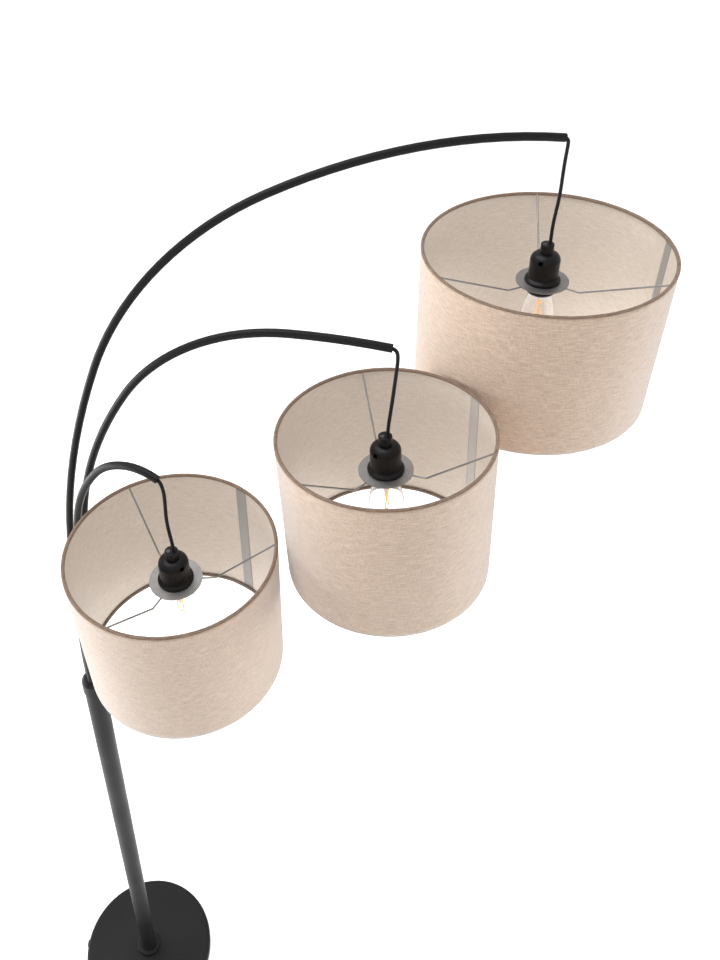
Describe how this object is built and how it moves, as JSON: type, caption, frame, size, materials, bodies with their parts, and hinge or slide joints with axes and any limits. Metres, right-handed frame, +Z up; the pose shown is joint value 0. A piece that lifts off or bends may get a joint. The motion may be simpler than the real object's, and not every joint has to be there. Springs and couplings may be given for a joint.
{
  "type": "tree floor lamp",
  "caption": "Tree floor lamp with a round weighted base, a straight pole and curved arms of different lengths, each holding a drum shade that hangs on a cord.",
  "frame": {"origin": "on the pole's axis at the floor, the middle of the base's felt pad", "axes": "+Z up along the pole; +X to the side the arms reach out to; +Y away from the viewer in the usual view"},
  "size_m": [0.8981, 0.5269, 1.8975],
  "materials": {
    "felt": "matt felt",
    "iron": "as cast",
    "black_paint": "satin powder coat",
    "steel": "turned",
    "dark_steel": "blackened",
    "zinc": "zinc plated",
    "black_plastic": "satin moulded",
    "white_plastic": "moulded",
    "cord_black": "matt sleeving",
    "linen": "slubby linen weave on a clear liner",
    "brass": "bright",
    "nickel": "bright",
    "clear_glass": "clear"
  },
  "bodies": {
    "stand": {"base_pad": "felt", "base_weight": "iron", "base_cover": "black_paint", "base_nipple": "steel", "base_fasteners": "steel", "cable_gland": "black_plastic", "foot_collar": "black_paint", "pole_foot_plug": "steel", "lower_pole": "black_paint", "pole_joiner": "steel", "upper_pole": "black_paint", "arm_holder": "steel", "top_collar": "black_paint", "grub_screws": "steel", "terminal_block": "white_plastic"},
    "high_boom": {"high_arm": "black_paint", "high_cable": "cord_black", "high_sleeve": "black_plastic"},
    "high_pendant": {"high_cord": "cord_black", "high_cord_grip": "black_plastic", "high_grip_screw": "dark_steel", "high_socket_cap": "black_plastic", "high_socket_body": "black_plastic", "high_contacts": "brass", "high_shade_nut": "black_plastic", "high_shade_frame": "zinc", "high_bottom_ring": "zinc", "high_shade": "linen", "high_bulb_core": "nickel", "high_bulb_glass": "clear_glass"},
    "middle_boom": {"middle_arm": "black_paint", "middle_cable": "cord_black", "middle_sleeve": "black_plastic"},
    "middle_pendant": {"middle_cord": "cord_black", "middle_cord_grip": "black_plastic", "middle_grip_screw": "dark_steel", "middle_socket_cap": "black_plastic", "middle_socket_body": "black_plastic", "middle_contacts": "brass", "middle_shade_nut": "black_plastic", "middle_shade_frame": "zinc", "middle_bottom_ring": "zinc", "middle_shade": "linen", "middle_bulb_core": "nickel", "middle_bulb_glass": "clear_glass"},
    "low_boom": {"low_arm": "black_paint", "low_cable": "cord_black", "low_sleeve": "black_plastic"},
    "low_pendant": {"low_cord": "cord_black", "low_cord_grip": "black_plastic", "low_grip_screw": "dark_steel", "low_socket_cap": "black_plastic", "low_socket_body": "black_plastic", "low_contacts": "brass", "low_shade_nut": "black_plastic", "low_shade_frame": "zinc", "low_bottom_ring": "zinc", "low_shade": "linen", "low_bulb_core": "nickel", "low_bulb_glass": "clear_glass"}
  },
  "joints": [
    {"name": "high_swivel", "type": "hinge", "parent": "stand", "child": "high_boom", "pos_m": [-0.00649, 0.00375, 1.069], "axis": [0, 0, 1], "range_deg": [0, 75]},
    {"name": "high_swing", "type": "hinge", "parent": "high_boom", "child": "high_pendant", "pos_m": [0.58374, 0.14818, 1.88879], "axis": [0.2377, -0.9713, 0], "range_deg": [0, 22]},
    {"name": "middle_swivel", "type": "hinge", "parent": "stand", "child": "middle_boom", "pos_m": [0.00649, 0.00375, 1.069], "axis": [0, 0, 1], "range_deg": [-4, 0]},
    {"name": "middle_swing", "type": "hinge", "parent": "middle_boom", "child": "middle_pendant", "pos_m": [0.40119, -0.03634, 1.72526], "axis": [-0.9511, -0.309, 0], "range_deg": [0, 20]},
    {"name": "low_swivel", "type": "hinge", "parent": "stand", "child": "low_boom", "pos_m": [0, -0.0075, 1.069], "axis": [0, 0, 1], "range_deg": [-75, 0]},
    {"name": "low_swing", "type": "hinge", "parent": "low_boom", "child": "low_pendant", "pos_m": [0.155, -0.08546, 1.57098], "axis": [-1, 0, 0], "range_deg": [0, 25]}
  ]
}
